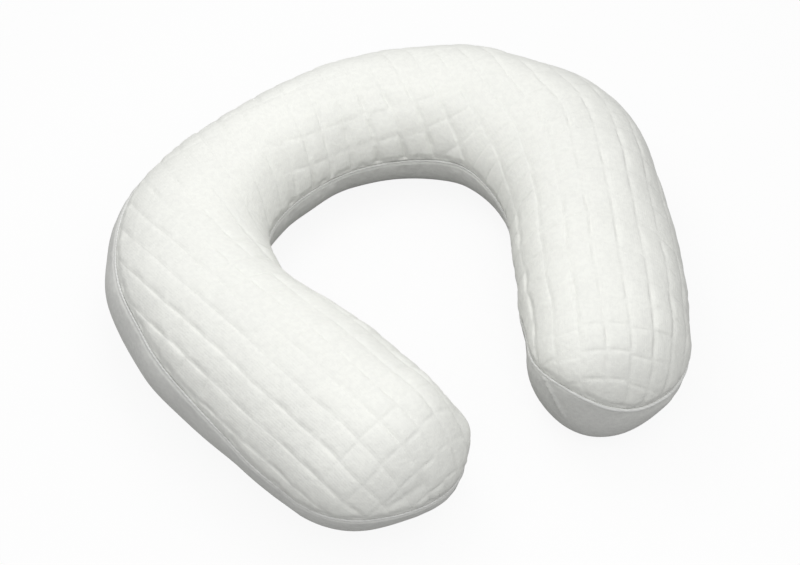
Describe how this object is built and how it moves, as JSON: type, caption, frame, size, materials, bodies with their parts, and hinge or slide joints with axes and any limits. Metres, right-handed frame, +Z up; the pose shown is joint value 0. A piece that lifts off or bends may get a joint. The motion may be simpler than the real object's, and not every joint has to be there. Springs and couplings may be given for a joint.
{
  "type": "neck pillow",
  "caption": "U-shaped neck pillow: a filled cushion with a raised-grid quilted upper panel, a plain under panel and a narrow welt in the seam, resting flat on its base.",
  "frame": {"origin": "middle of the pillow's box, on the surface that it lies on", "axes": "+X to the right arm, -Y out of the open end of the U, +Z up from the base to the quilted crown"},
  "size_m": [0.3036, 0.2702, 0.0794],
  "materials": {
    "quilted_knit": "thick soft white knit, quilted in a raised grid",
    "plain_knit": "plain matt white knit",
    "welt": "narrow covered welt, slightly satin white"
  },
  "bodies": {
    "root": {"quilted_top": "quilted_knit", "plain_base": "plain_knit", "seam_piping": "welt"}
  },
  "joints": []
}
